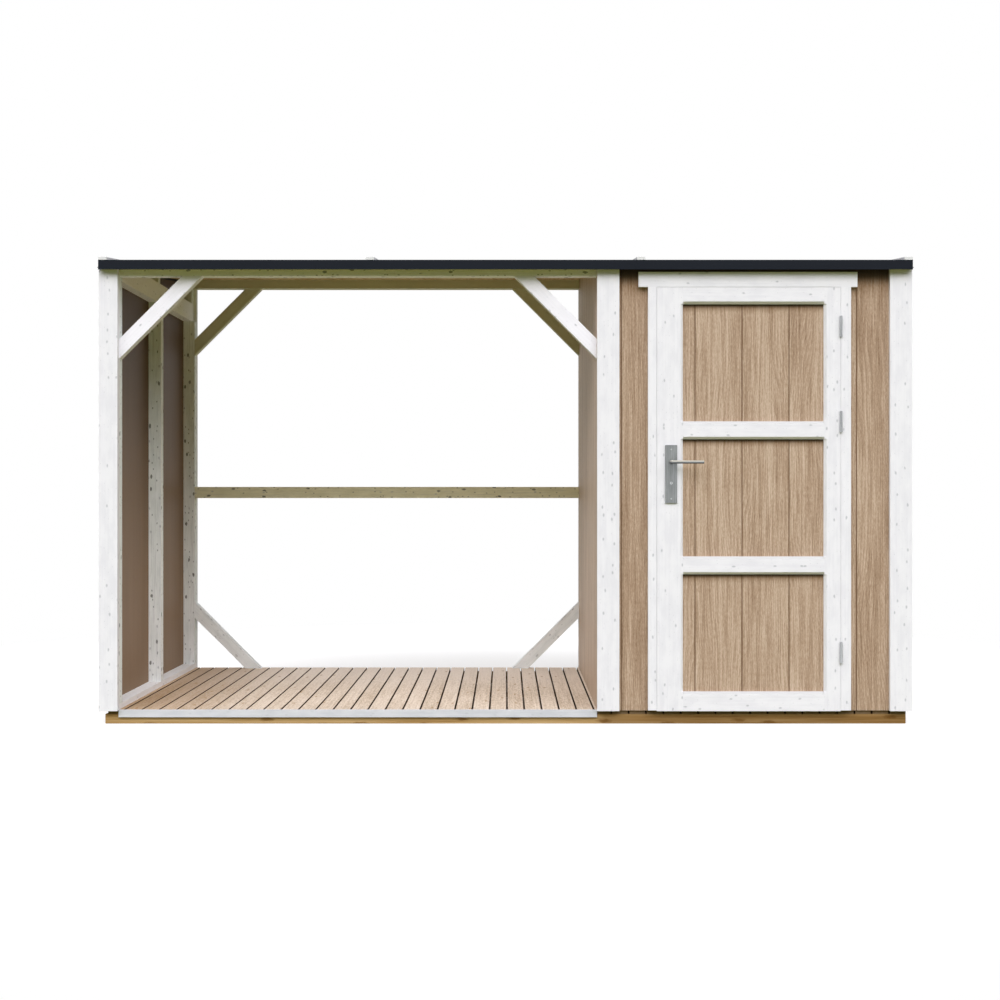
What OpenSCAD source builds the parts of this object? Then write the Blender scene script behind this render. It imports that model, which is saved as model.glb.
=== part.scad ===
// Garden log store with a pent roof: an open firewood bay on the left
// and a closed shed with a panelled door on the right.
// The origin is on the ground under the middle; X runs right, Y to the back.

/* [Overall] */
// Width over the wall frames
frame_w = 3460; // [3000:10:4000]
// Depth over the wall frames
frame_d = 1500; // [1200:10:1800]
// Width of the log bay, from the left frame face to the partition
bay_w = 2125; // [1600:5:2300]
// Slope of the roof in degrees, rising to the back
roof_pitch = 6.5; // [4:0.5:9]

/* [Base and floor] */
// Height of the sills
sill_h = 40; // [30:1:70]
// Thickness of the sills and bearers
sill_t = 45; // [38:1:60]
// Width of a floor slat
slat_w = 68; // [60:1:120]
// Thickness of a floor slat
slat_t = 20; // [16:1:30]
// Gap between floor slats
slat_gap = 7.1; // [3:0.1:10]
// Height of the white board along the bay's floor edge
edge_board_h = 32; // [24:1:48]
// Thickness of the floor edge board
edge_board_t = 11; // [8:1:16]

/* [Wall frames] */
// Thickness of a stud along its wall
stud_t = 45; // [38:1:60]
// Depth of a stud through its wall
stud_d = 60; // [45:1:75]
// Length of a stud between its plates
stud_l = 1840; // [1600:5:2000]
// Height of the bottom plates
bottom_plate_h = 25; // [20:1:45]
// Thickness of the top plates through the wall
top_plate_t = 45; // [38:1:45]
// Height of the top plates
top_plate_h = 95; // [70:1:110]
// Height of the back rail above the floor
back_rail_z = 915; // [600:5:1200]
// Height of the back rail's face
back_rail_h = 60; // [45:1:95]
// Width of a corner brace
brace_w = 60; // [45:1:75]
// Reach of a corner brace along post and beam
brace_leg = 358; // [280:1:450]

/* [Siding and trims] */
// Thickness of the siding
siding_t = 9; // [7:0.5:14]
// Distance between the siding's grooves
groove_pitch = 203; // [120:1:250]
// Width of a siding groove
groove_w = 4; // [2:0.5:8]
// Depth of a siding groove
groove_depth = 2.5; // [1:0.5:4]
// Distance from the partition to the front siding's first groove
front_groove_x = 105; // [60:1:150]
// Width of the corner trims
trim_w = 95; // [70:1:120]
// Width of the narrow trim on the bay's post
post_trim_w = 80; // [60:1:90]
// Thickness of the side trims
trim_t = 11; // [8:1:18]
// Thickness of the front and back trims
face_trim_t = 20; // [8:1:24]
// Distance that trims and siding hang below the floor's top
skirt_drop = 3; // [0:1:15]

/* [Roof] */
// Depth of the front and back beams
beam_d = 60; // [45:1:75]
// Height of a beam's lower side
beam_h = 45; // [40:1:80]
// Height of the front beam's underside above the studs' tops
beam_step = 10; // [5:1:40]
// Thickness of the roof panels
roof_t = 20; // [15:1:30]
// Overhang of the roof panels at front and back
overhang = 55; // [40:1:200]
// Overhang of the roof panels at the sides
side_over = 13; // [10:1:19]
// Gap between neighbouring roof panels
panel_gap = 2; // [1:0.5:5]
// Thickness of the felt and of the metal flanges in its layer
felt_t = 1; // [1:0.5:3]
// Thickness of the upright metal edges
edge_t = 2; // [1:0.5:3]
// Height of the metal edge at front and back
edge_h = 42; // [34:1:60]
// Width of the metal flange on the roof
flange_w = 60; // [40:1:100]
// Reach of the drip lip at front and back
drip_lip = 4; // [2:0.5:8]
// Drop of the verge metal below the roof panels
verge_drop = 12; // [8:1:18]
// Gap between the verge metal and the wall's skins below it
verge_gap = 2; // [1:0.5:5]
// Reach of the verge metal's lip
verge_lip = 5; // [3:1:16]
// Width of a roof batten
batten_w = 36; // [30:1:60]
// Height of a roof batten
batten_h = 12; // [8:1:25]
// Reach of the outer battens past the verge metal
batten_over = 0; // [0:1:10]

/* [Door] */
// Distance from the partition to the lock jamb
door_offset = 219; // [120:1:280]
// Distance from the hinge jamb to the right frame face
door_margin = 243; // [120:1:300]
// Face width of the lock jamb
lock_jamb_w = 36; // [25:1:50]
// Face width of the hinge jamb
hinge_jamb_w = 43.5; // [25:0.5:50]
// Gap around the door leaf
door_gap = 1.5; // [1.5:0.5:4]
// Gap under the door's panel and in front of the stops
sweep_gap = 5; // [3:1:8]
// Height of the head over the doorway
head_h = 52; // [40:1:90]
// Height of the trim over the doorway
head_trim_h = 64; // [45:1:75]
// Reach of the head trim past the lock jamb
head_over_lock = 41; // [10:0.5:60]
// Reach of the head trim past the hinge jamb
head_over_hinge = 27.5; // [10:0.5:60]
// Size of the door stops' section
stop_w = 12; // [8:1:16]
// Thickness of the leaf's stiles, rails and ledges
leaf_board_t = 20; // [12:1:24]
// Width of the stile at the lock
lock_stile_w = 112.5; // [95:0.5:140]
// Width of the stile at the hinges
hinge_stile_w = 70; // [60:1:110]
// Height of the leaf's bottom rail
bottom_rail_h = 83; // [60:1:140]
// Height of the leaf's two middle rails
mid_rail_h = 77; // [60:1:140]
// Height of the leaf's top rail
top_rail_h = 71.5; // [60:0.5:140]
// Chamfer on the edges around the panels
leaf_chamfer = 10; // [2:0.5:12]
// Distance from the leaf's lock edge to the panel's first groove
panel_groove_x = 166.5; // [125:0.5:200]

/* [Hinges and handle] */
// Height of a hinge
hinge_h = 90; // [60:1:120]
// Diameter of a hinge knuckle
knuckle_d = 11; // [9:0.5:12]
// Diameter of a hinge pin
pin_d = 6; // [4:0.5:7]
// Play around a hinge pin
pin_play = 0.1; // [0.05:0.05:0.3]
// Thickness of a hinge leaf
hinge_leaf_t = 2; // [1:0.5:2]
// Width of a hinge leaf, let into the edges beside the gap
hinge_leaf_w = 20; // [10:1:22]
// Distance of the hinge axis in front of the door
hinge_out = 6; // [6:0.5:9]
// Distance of the top hinge below the leaf's top
hinge_top_drop = 169; // [100:1:300]
// Distance of the middle hinge below the leaf's top
hinge_mid_drop = 578; // [450:1:900]
// Distance of the low hinge above the leaf's bottom
hinge_low_rise = 253; // [150:1:400]
// Width of a handle plate
plate_w = 51; // [40:1:55]
// Height of a handle plate
plate_h = 250; // [200:1:280]
// Thickness of a handle plate
plate_t = 6; // [3:0.5:8]
// Height of a handle plate above its spindle
plate_rise = 74; // [50:1:100]
// Distance of the spindle from the leaf's lock edge
backset = 61; // [45:0.5:75]
// Height of the spindle above the floor
spindle_z = 1068; // [950:1:1100]
// Diameter of the spindle
spindle_d = 8; // [6:0.5:10]
// Play around the spindle
spindle_play = 0.1; // [0.05:0.05:0.3]
// Distance of the lock cylinder's middle below the spindle
lock_drop = 98; // [60:1:130]
// Diameter of the lock cylinder's round part
lock_d = 17; // [14:0.5:20]
// Width of the lock cylinder's foot
lock_foot_w = 10; // [8:0.5:12]
// Height of the lock cylinder
lock_h = 33; // [28:1:36]
// Reach of the lock cylinder past its plate
lock_out = 2; // [1:0.5:3]
// Length of a lever from the spindle's middle
lever_l = 136; // [100:1:160]
// Diameter of a lever's grip
lever_d = 14; // [10:0.5:18]
// Diameter of a lever's neck
neck_d = 17; // [14:0.5:20]
// Distance of a grip's middle from its plate
neck_l = 36; // [28:1:45]

/* [Hidden] */
$fn = 48;

// Paint and wood colours
white_paint = "#F1F1EF";
tan_siding = "#B99F86";
brown_sill = "#85663C";
pale_slat = "#D3BFAC";
raw_wood = "#A39670";
black_metal = "#25292A";
black_felt = "#2E3030";
grey_batten = "#D9DADA";
grey_steel = "#969B98";

// Small distances: running play between metal faces, play between the roof's layers,
// reach of a cutter past a face
run = 0.5;
lay = 0.1;
eps = 1;

// Frame faces
front = -frame_d / 2;
back = frame_d / 2;
left = -frame_w / 2;
right = frame_w / 2;
part_x = left + bay_w;
part_in = part_x + siding_t;
floor_z = sill_h + slat_t;
skirt_z = floor_z - skirt_drop;
plate_z = floor_z + bottom_plate_h;
stud_z = plate_z + stud_l;
post_x = left + stud_d;

// Roof plane: height of the panels' underside over the ground
beam_z = stud_z + beam_step;
function roof_z(y) = beam_z + beam_h + tan(roof_pitch) * (y - front);
back_beam_z = roof_z(back - beam_d) - beam_h;
roof_y = back + overhang;
deck_t = roof_t + lay;
top_t = deck_t + felt_t;

// Layers on the frame: siding, then trims
trim_out = siding_t + trim_t;
face_out = siding_t + face_trim_t;
verge_clear = verge_drop + verge_gap;
front_top = roof_z(front - face_out) - verge_clear;
back_top = roof_z(back) - verge_clear;

// Slats laid from the right end of the frame
slat_pitch = slat_w + slat_gap;
slat_n = floor((frame_w + slat_gap) / slat_pitch);
function slat_x(k) = right - slat_w - k * slat_pitch;

// Roof panels and the joints between them
panel_n = 3;
roof_x = right + side_over;
panel_w = floor(2 * roof_x / panel_n);

// Doorway and leaf
lock_jamb_x = part_x + door_offset;
opening_x = lock_jamb_x + lock_jamb_w;
hinge_jamb_end = right - door_margin;
opening_end = hinge_jamb_end - hinge_jamb_w;
door_face = front - face_out;
leaf_x = opening_x + door_gap;
leaf_end = opening_end - door_gap;
leaf_z = skirt_z;
leaf_top = beam_z - head_h - door_gap;
panel_front = door_face + leaf_board_t;
panel_back = panel_front + siding_t;
panel_z = floor_z + sweep_gap;
stop_front = panel_back + sweep_gap;
rail_sum = bottom_rail_h + 2 * mid_rail_h + top_rail_h;
light_h = (leaf_top - leaf_z - rail_sum) / 3;
rails = [
    [leaf_z, leaf_z + bottom_rail_h],
    [leaf_z + bottom_rail_h + light_h, leaf_z + bottom_rail_h + light_h + mid_rail_h],
    [leaf_top - top_rail_h - light_h - mid_rail_h, leaf_top - top_rail_h - light_h],
    [leaf_top - top_rail_h, leaf_top]
];
stile_in = leaf_x + lock_stile_w;
stile_out = leaf_end - hinge_stile_w;
ledge_inset = stop_w + sweep_gap;

// Hinges: axis in the middle of the door gap, in front of the faces
hinge_x = opening_end - door_gap / 2;
hinge_y = door_face - hinge_out;
hinges = [leaf_top - hinge_top_drop, leaf_top - hinge_mid_drop, leaf_z + hinge_low_rise];

// Handle: spindle through the lock stile
spindle_x = leaf_x + backset;
spindle_h = floor_z + spindle_z;
outer_plate = door_face - plate_t;
inner_plate = panel_back + plate_t;

// A box between pairs of limits
module block(x, y, z) {
    translate([x[0], y[0], z[0]])
        cube([x[1] - x[0], y[1] - y[0], z[1] - z[0]]);
}

// A Y-Z outline drawn out along X, and an X-Z outline drawn out along Y
module along_x(x) {
    translate([x[0], 0, 0])
        rotate([90, 0, 90])
            linear_extrude(x[1] - x[0])
                children();
}
module along_y(y) {
    translate([0, y[1], 0])
        rotate([90, 0, 0])
            linear_extrude(y[1] - y[0])
                children();
}

// A band that follows the roof between two heights over the panels' underside
module roof_band(x, y, low, high) {
    along_x(x)
        polygon([
            [y[0], roof_z(y[0]) + low], [y[1], roof_z(y[1]) + low],
            [y[1], roof_z(y[1]) + high], [y[0], roof_z(y[0]) + high]
        ]);
}

// What lies under the roof, less a drop, cut from the children
module scribed(drop = 0) {
    intersection() {
        children();
        along_x([left - trim_out - eps, right + trim_out + eps])
            polygon([
                [-roof_y, -eps], [roof_y, -eps],
                [roof_y, roof_z(roof_y) - drop], [-roof_y, roof_z(-roof_y) - drop]
            ]);
    }
}

// Studs of a side wall: under the front beam, in the middle and at the back
module side_studs(x) {
    block(x, [front, front + stud_t], [plate_z, beam_z]);
    block(x, [-stud_t / 2, stud_t / 2], [plate_z, stud_z]);
    block(x, [back - stud_t, back], [plate_z, stud_z]);
}

// Short studs from a side wall's top plate to the roof and to the back beam
module side_gable_studs(x) {
    scribed()
        block(x, [-stud_t / 2, stud_t / 2], [stud_z + top_plate_h, roof_z(back)]);
    block(x, [back - stud_t, back], [stud_z + top_plate_h, back_beam_z]);
}

// Siding on its outer face, seen from -Y: grooves run upright from the first
module grooved_sheet(length, height, first) {
    difference() {
        translate([0, -siding_t, 0])
            cube([length, siding_t, height]);
        for (x = [first : groove_pitch : length - groove_w])
            translate([x - groove_w / 2, -siding_t - eps, -eps])
                cube([groove_w, groove_depth + eps, height + 2 * eps]);
    }
}

// A corner brace from the corner at x and z; across and up are 1 or -1
module brace(y, x, z, across, up) {
    inner = brace_leg - brace_w * sqrt(2);
    along_y(y)
        polygon([
            [x, z + up * brace_leg], [x + across * brace_leg, z],
            [x + across * inner, z], [x, z + up * inner]
        ]);
}

module long_sills() {
    color(brown_sill) {
        block([left, right], [front, front + sill_t], [0, sill_h]);
        block([left, right], [back - sill_t, back], [0, sill_h]);
    }
}

module end_sills() {
    color(brown_sill) {
        block([left, left + sill_t], [front + sill_t, back - sill_t], [0, sill_h]);
        block([right - sill_t, right], [front + sill_t, back - sill_t], [0, sill_h]);
    }
}

module floor_bearers() {
    color(brown_sill)
        for (y = [-frame_d / 6, frame_d / 6])
            block([left + sill_t, right - sill_t], [y - sill_t / 2, y + sill_t / 2], [0, sill_h]);
}

module slat(k) {
    block([slat_x(k), slat_x(k) + slat_w], [front, back], [sill_h, floor_z]);
}

module log_floor() {
    color(pale_slat)
        for (k = [0 : slat_n - 1])
            if (slat_x(k) < part_x)
                slat(k);
}

module shed_floor() {
    color(pale_slat)
        for (k = [0 : slat_n - 1])
            if (slat_x(k) >= part_x)
                slat(k);
}

module floor_edge_board() {
    color(white_paint)
        block([post_x, part_x], [front - edge_board_t, front], [floor_z - edge_board_h, floor_z]);
}

module wall_bottom_plates() {
    color(white_paint)
        for (x = [left, part_in, right - stud_d])
            block([x, x + stud_d], [front, back], [floor_z, plate_z]);
}

module cross_bottom_plates() {
    color(raw_wood) {
        block([part_in + stud_d, lock_jamb_x], [front, front + stud_t], [floor_z, plate_z]);
        block([hinge_jamb_end, right - stud_d], [front, front + stud_t], [floor_z, plate_z]);
        block([part_in + stud_d, right - stud_d], [back - stud_t, back], [floor_z, plate_z]);
    }
}

module left_studs() {
    color(white_paint)
        side_studs([left, post_x]);
}

module partition_studs() {
    color(raw_wood)
        side_studs([part_in, part_in + stud_d]);
}

module right_studs() {
    color(raw_wood)
        side_studs([right - stud_d, right]);
}

// Two studs that split the shed's back wall into three
module back_studs() {
    gap = (right - part_in - 2 * stud_d) / 3;
    color(raw_wood)
        for (k = [1, 2])
            translate([part_in + stud_d + k * gap - stud_d / 2, 0, 0])
                block([0, stud_d], [back - stud_t, back], [plate_z, back_beam_z]);
}

// Level plates on the side walls, scribed to the roof where they meet the front beam
module wall_top_plates() {
    color(white_paint)
        for (x = [left, part_in, right - top_plate_t])
            scribed()
                block([x, x + top_plate_t], [front + beam_d, back], [stud_z, stud_z + top_plate_h]);
}

module gable_studs() {
    color(white_paint)
        for (x = [left, part_in, right - top_plate_t])
            side_gable_studs([x, x + top_plate_t]);
}

module front_beam() {
    color(white_paint)
        scribed()
            block([left, right], [front, front + beam_d], [beam_z, roof_z(0)]);
}

module back_beam() {
    color(white_paint)
        scribed()
            block([left, right], [back - beam_d, back], [back_beam_z, roof_z(roof_y)]);
}

module back_rail() {
    rail_z = floor_z + back_rail_z;
    color(white_paint)
        block([post_x, part_x], [back - stud_t, back], [rail_z, rail_z + back_rail_h]);
}

// The pair of braces in the bay's two corners at one height
module brace_pair(y, z, up) {
    brace(y, post_x, z, 1, up);
    brace(y, part_x, z, -1, up);
}

module front_braces() {
    color(white_paint)
        brace_pair([front, front + stud_t], beam_z, -1);
}

module back_braces() {
    color(white_paint) {
        brace_pair([back - stud_t, back], back_beam_z, -1);
        brace_pair([back - stud_t, back], floor_z, 1);
    }
}

// Height of a side sheet before it is scribed under the verge metal
sheet_h = roof_z(back) - skirt_z;

module left_siding() {
    color(tan_siding)
        scribed(verge_clear)
            translate([left, back, skirt_z])
                rotate(-90)
                    grooved_sheet(frame_d, sheet_h, groove_pitch / 2);
}

module right_siding() {
    color(tan_siding)
        scribed(verge_clear)
            translate([right, front, skirt_z])
                rotate(90)
                    grooved_sheet(frame_d, sheet_h, groove_pitch / 2);
}

// The partition's sheet stands on the floor and is notched round both beams
module partition_siding() {
    through = [part_x - eps, part_in + eps];
    color(tan_siding)
        scribed()
            difference() {
                translate([part_in, back, floor_z])
                    rotate(-90)
                        grooved_sheet(frame_d, roof_z(back) - floor_z, groove_pitch / 2);
                block(through, [front - eps, front + beam_d], [beam_z, roof_z(back)]);
                block(through, [back - beam_d, back + eps], [back_beam_z, roof_z(roof_y)]);
            }
}

module back_siding() {
    color(tan_siding)
        translate([right + siding_t, back, skirt_z])
            rotate(180)
                grooved_sheet(right + siding_t - part_x, back_top - skirt_z, groove_pitch / 2);
}

// Sheets beside the doorway, with grooves in step across it
module front_siding() {
    right_start = hinge_jamb_end - part_x;
    skipped = ceil((right_start - front_groove_x + groove_w) / groove_pitch);
    right_first = front_groove_x + groove_pitch * skipped - right_start;
    color(tan_siding) {
        translate([part_x, front, skirt_z])
            grooved_sheet(door_offset, front_top - skirt_z, front_groove_x);
        translate([hinge_jamb_end, front, skirt_z])
            grooved_sheet(right + siding_t - hinge_jamb_end, front_top - skirt_z, right_first);
    }
}

module over_door_siding() {
    color(tan_siding)
        block([lock_jamb_x, hinge_jamb_end], [front - siding_t, front], [beam_z, front_top]);
}

// Boards that face the ends of the left wall, behind its narrow trims
module left_post_facings() {
    x = [left - siding_t, post_x];
    color(white_paint) {
        block(x, [front - siding_t, front], [skirt_z, front_top]);
        block(x, [back, back + siding_t], [skirt_z, back_top]);
    }
}

// Trims of one end wall: over the post, at the partition and at the shed's corner
module end_trims(y, top) {
    block([left - trim_out, left - trim_out + post_trim_w], y, [skirt_z, top]);
    block([part_x, part_x + trim_w], y, [skirt_z, top]);
    block([right + trim_out - trim_w, right + trim_out], y, [skirt_z, top]);
}

module front_trims() {
    color(white_paint)
        end_trims([door_face, front - siding_t], front_top);
}

module back_trims() {
    color(white_paint)
        end_trims([back + siding_t, back + face_out], back_top);
}

module side_trims() {
    color(white_paint)
        for (x = [left - trim_out, right + siding_t])
            for (y = [front - siding_t, back + siding_t - trim_w])
                scribed(verge_clear)
                    block([x, x + trim_t], [y, y + trim_w], [skirt_z, roof_z(roof_y)]);
}

module door_jambs() {
    color(white_paint)
        difference() {
            for (x = [[lock_jamb_x, opening_x], [opening_end, hinge_jamb_end]])
                block(x, [door_face, front + beam_d], [floor_z, beam_z - head_h]);
            hinge_seats(opening_end);
        }
}

// Laths on the jambs, behind the closed leaf
module door_stops() {
    color(white_paint)
        for (x = [opening_x, opening_end - stop_w])
            block([x, x + stop_w], [stop_front, stop_front + stop_w], [floor_z, beam_z - head_h]);
}

module door_head() {
    color(white_paint)
        block(
            [lock_jamb_x, hinge_jamb_end],
            [front - siding_t, front + beam_d],
            [beam_z - head_h, beam_z]
        );
}

module door_head_trim() {
    color(white_paint)
        block(
            [lock_jamb_x - head_over_lock, hinge_jamb_end + head_over_hinge],
            [door_face, front - siding_t],
            [beam_z - head_h, beam_z - head_h + head_trim_h]
        );
}

module roof_panels() {
    color(raw_wood)
        for (k = [0 : panel_n - 1]) {
            joint = -roof_x + k * panel_w;
            start = joint + (k > 0 ? panel_gap / 2 : 0);
            end = k < panel_n - 1 ? joint + panel_w - panel_gap / 2 : roof_x;
            roof_band([start, end], [-roof_y, roof_y], 0, roof_t);
        }
}

module roof_felt() {
    side = roof_x - flange_w + edge_t;
    end = roof_y - flange_w + edge_t;
    color(black_felt)
        roof_band([-side, side], [-end, end], deck_t, top_t);
}

// Battens over the joints between the panels and along both verges
module roof_battens() {
    outer = roof_x + edge_t + batten_over - batten_w / 2;
    joints = [for (k = [1 : panel_n - 1]) -roof_x + k * panel_w];
    color(grey_batten)
        for (x = concat([-outer], joints, [outer]))
            roof_band(
                [x - batten_w / 2, x + batten_w / 2],
                [-roof_y - edge_t, roof_y + edge_t],
                top_t + lay, top_t + lay + batten_h
            );
}

// Folded metal edge: flange on the roof, upright face, lip kicked out at the foot
module drip_edge(side) {
    face = side * (roof_y + edge_t);
    inside = side * roof_y;
    tail = side * (roof_y + edge_t - flange_w);
    foot = roof_z(face) + top_t - edge_h;
    tip = edge_t / 2;
    along_x([-roof_x - edge_t, roof_x + edge_t])
        polygon([
            [tail, roof_z(tail) + deck_t], [inside, roof_z(inside) + deck_t],
            [inside, foot + drip_lip], [face + side * (drip_lip - tip), foot],
            [face + side * drip_lip, foot + tip], [face, foot + drip_lip + tip],
            [face, roof_z(face) + top_t], [tail, roof_z(tail) + top_t]
        ]);
}

module drip_edges() {
    color(black_metal) {
        drip_edge(-1);
        drip_edge(1);
    }
}

// Verge metal of the right side: flange between the drip edges, upright face, lip
module verge_trim() {
    flange_y = roof_y + edge_t - flange_w;
    out = roof_x + edge_t;
    roof_band([out - flange_w, out], [-flange_y, flange_y], deck_t, top_t);
    roof_band([roof_x, out], [-flange_y, flange_y], 0, top_t);
    roof_band([roof_x, out], [-roof_y, roof_y], -verge_drop, roof_t);
    roof_band([roof_x, out + verge_lip], [-roof_y, roof_y], -verge_drop, edge_t - verge_drop);
}

module verge_trims() {
    color(black_metal) {
        verge_trim();
        mirror([1, 0, 0])
            verge_trim();
    }
}

// A round hole for the spindle through the leaf and its plates
module spindle_hole(d) {
    translate([spindle_x, outer_plate - eps, spindle_h])
        rotate([-90, 0, 0])
            cylinder(d = d, h = inner_plate - outer_plate + 2 * eps);
}

// Seats in the edges beside the gap, flush with the hinge leaves
module hinge_seats(x) {
    for (z = hinges)
        block(
            [x, x + hinge_leaf_t],
            [door_face - eps, door_face + hinge_leaf_w],
            [z - hinge_h / 2, z + hinge_h / 2]
        );
}

// Sheet behind the stiles and rails, clear of the floor, with grooves that show in front
module door_panel() {
    color(tan_siding)
        difference() {
            translate([leaf_x, panel_back, panel_z])
                grooved_sheet(leaf_end - leaf_x, leaf_top - panel_z, panel_groove_x);
            spindle_hole(2 * spindle_d);
            hinge_seats(leaf_end - hinge_leaf_t);
        }
}

module door_stiles() {
    color(white_paint)
        difference() {
            union() {
                block([leaf_x, stile_in], [door_face, panel_front], [leaf_z, leaf_top]);
                block([stile_out, leaf_end], [door_face, panel_front], [leaf_z, leaf_top]);
            }
            for (k = [0 : 2]) {
                translate([stile_in, door_face, rails[k][1]])
                    stile_cut(-1);
                translate([stile_out, door_face, rails[k][1]])
                    stile_cut(1);
            }
            spindle_hole(2 * spindle_d);
            hinge_seats(leaf_end - hinge_leaf_t);
        }
}

// Chamfer beside a panel, into the stile on the given side
module stile_cut(side) {
    linear_extrude(light_h)
        polygon([
            [side * leaf_chamfer, -eps], [side * leaf_chamfer, 0], [0, leaf_chamfer],
            [-side * eps, leaf_chamfer], [-side * eps, -eps]
        ]);
}

// Rails between the stiles, chamfered towards the panels
module door_rails() {
    c = leaf_chamfer;
    color(white_paint)
        for (k = [0 : 3]) {
            low = rails[k][0];
            high = rails[k][1];
            top_edge = k < 3 ? [[door_face + c, high], [door_face, high - c]] : [[door_face, high]];
            foot_edge = k > 0 ? [[door_face, low + c], [door_face + c, low]] : [[door_face, low]];
            along_x([stile_in, stile_out])
                polygon(concat([[panel_front, low], [panel_front, high]], top_edge, foot_edge));
        }
}

// Ledges across the back of the panel, behind the rails, from the lock stile to the stop
module door_ledges() {
    color(raw_wood)
        for (r = rails)
            block(
                [stile_in, leaf_end - ledge_inset],
                [panel_back, panel_back + leaf_board_t],
                [max(r[0], panel_z), r[1]]
            );
}

// Half of a lift-off hinge: knuckle, web and a leaf let into an edge from x on
module hinge_half(z, low, high, x) {
    translate([hinge_x, hinge_y, z + low])
        cylinder(d = knuckle_d, h = high - low);
    block([x, x + hinge_leaf_t], [hinge_y, door_face], [z + low, z + high]);
    block([x, x + hinge_leaf_t], [door_face, door_face + hinge_leaf_w], [z - hinge_h / 2, z + hinge_h / 2]);
}

module hinge_frame_halves() {
    color(grey_steel)
        for (z = hinges) {
            hinge_half(z, -hinge_h / 2, -run, opening_end);
            translate([hinge_x, hinge_y, z - hinge_h / 4])
                cylinder(d = pin_d, h = hinge_h * 3 / 4 - pin_d);
        }
}

module hinge_door_halves() {
    color(grey_steel)
        difference() {
            for (z = hinges)
                hinge_half(z, 0, hinge_h / 2, leaf_end - hinge_leaf_t);
            for (z = hinges)
                translate([hinge_x, hinge_y, z - eps])
                    cylinder(d = pin_d + 2 * pin_play, h = hinge_h / 2 + 2 * eps);
        }
}

// End of the lock cylinder that stands out of a plate: round above, narrow foot below
module lock_end(y) {
    foot = (lock_h - lock_foot_w) / 2;
    along_y(y)
        translate([spindle_x, spindle_h - lock_drop]) {
            translate([0, (lock_h - lock_d) / 2])
                circle(d = lock_d);
            translate([-lock_foot_w / 2, -foot])
                square([lock_foot_w, foot]);
            translate([0, -foot])
                circle(d = lock_foot_w);
        }
}

module handle_plates() {
    low = spindle_h + plate_rise - plate_h;
    color(grey_steel) {
        difference() {
            for (y = [[outer_plate, door_face], [panel_back, inner_plate]])
                block([spindle_x - plate_w / 2, spindle_x + plate_w / 2], y, [low, low + plate_h]);
            spindle_hole(spindle_d + 2 * spindle_play);
        }
        lock_end([outer_plate - lock_out, outer_plate]);
        lock_end([inner_plate, inner_plate + lock_out]);
    }
}

// Lever on one side of the door: neck from the plate, rounded elbow and straight grip cut square
module lever(plate, side) {
    grip_y = plate + side * neck_l;
    neck_y = plate + side * run;
    translate([spindle_x, side < 0 ? grip_y : neck_y, spindle_h])
        rotate([-90, 0, 0])
            cylinder(d = neck_d, h = neck_l - run);
    translate([spindle_x, grip_y, spindle_h])
        sphere(d = neck_d);
    translate([spindle_x, grip_y, spindle_h])
        rotate([0, 90, 0])
            cylinder(d = lever_d, h = lever_l);
}

module lever_handle() {
    color(grey_steel) {
        lever(outer_plate, -1);
        lever(inner_plate, 1);
        translate([spindle_x, outer_plate - run - eps, spindle_h])
            rotate([-90, 0, 0])
                cylinder(d = spindle_d, h = inner_plate - outer_plate + 2 * (run + eps));
    }
}

long_sills();
end_sills();
floor_bearers();
log_floor();
shed_floor();
floor_edge_board();
wall_bottom_plates();
cross_bottom_plates();
left_studs();
partition_studs();
right_studs();
back_studs();
wall_top_plates();
gable_studs();
front_beam();
back_beam();
back_rail();
front_braces();
back_braces();
left_siding();
right_siding();
partition_siding();
back_siding();
front_siding();
over_door_siding();
left_post_facings();
front_trims();
side_trims();
back_trims();
door_jambs();
door_stops();
door_head();
door_head_trim();
roof_panels();
roof_felt();
roof_battens();
drip_edges();
verge_trims();
door_panel();
door_stiles();
door_rails();
door_ledges();
hinge_frame_halves();
hinge_door_halves();
handle_plates();
lever_handle();
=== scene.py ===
# %% [markdown]
# Dressing a garden log store. The store is a timber building under one pent roof: an open
# firewood bay with a slatted floor on the left and a small closed shed on the right.
# The solids arrive ready made, so this lesson adds what solids can't carry: the finish of
# every board, the fixings and the light. The solids are loaded first and never moved.

# %% Load the frame
import math

import bmesh
import bpy
from mathutils import Matrix, Vector


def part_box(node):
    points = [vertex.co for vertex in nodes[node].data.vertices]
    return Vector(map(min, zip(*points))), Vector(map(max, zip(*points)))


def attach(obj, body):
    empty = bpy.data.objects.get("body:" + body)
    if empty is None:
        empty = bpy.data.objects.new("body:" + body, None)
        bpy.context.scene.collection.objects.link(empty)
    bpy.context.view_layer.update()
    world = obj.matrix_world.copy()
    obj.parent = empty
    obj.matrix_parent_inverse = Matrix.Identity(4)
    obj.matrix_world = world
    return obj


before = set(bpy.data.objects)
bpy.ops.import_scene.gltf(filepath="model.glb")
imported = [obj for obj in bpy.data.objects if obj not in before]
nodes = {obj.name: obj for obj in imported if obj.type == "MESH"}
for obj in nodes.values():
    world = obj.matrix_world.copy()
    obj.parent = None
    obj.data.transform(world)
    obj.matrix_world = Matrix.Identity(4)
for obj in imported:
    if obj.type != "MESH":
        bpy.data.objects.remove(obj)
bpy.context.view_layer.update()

# %% [markdown]
# The camera comes next, because every later choice is judged through it. The picture is
# taken square on to the front: all the lines that run to the back meet in one point near
# its middle. A level camera at chest height gives that, with a small lens shift where the
# meeting point is off the middle. A tilted camera would make the posts lean.

# %% Camera
IMAGE_PIXELS = 1000
MEETING_POINT = (505.5, 499.0)
EYE_HEIGHT = 0.970
EYE_DISTANCE = 5.976
trim_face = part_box("front_trims")[0].y

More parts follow.
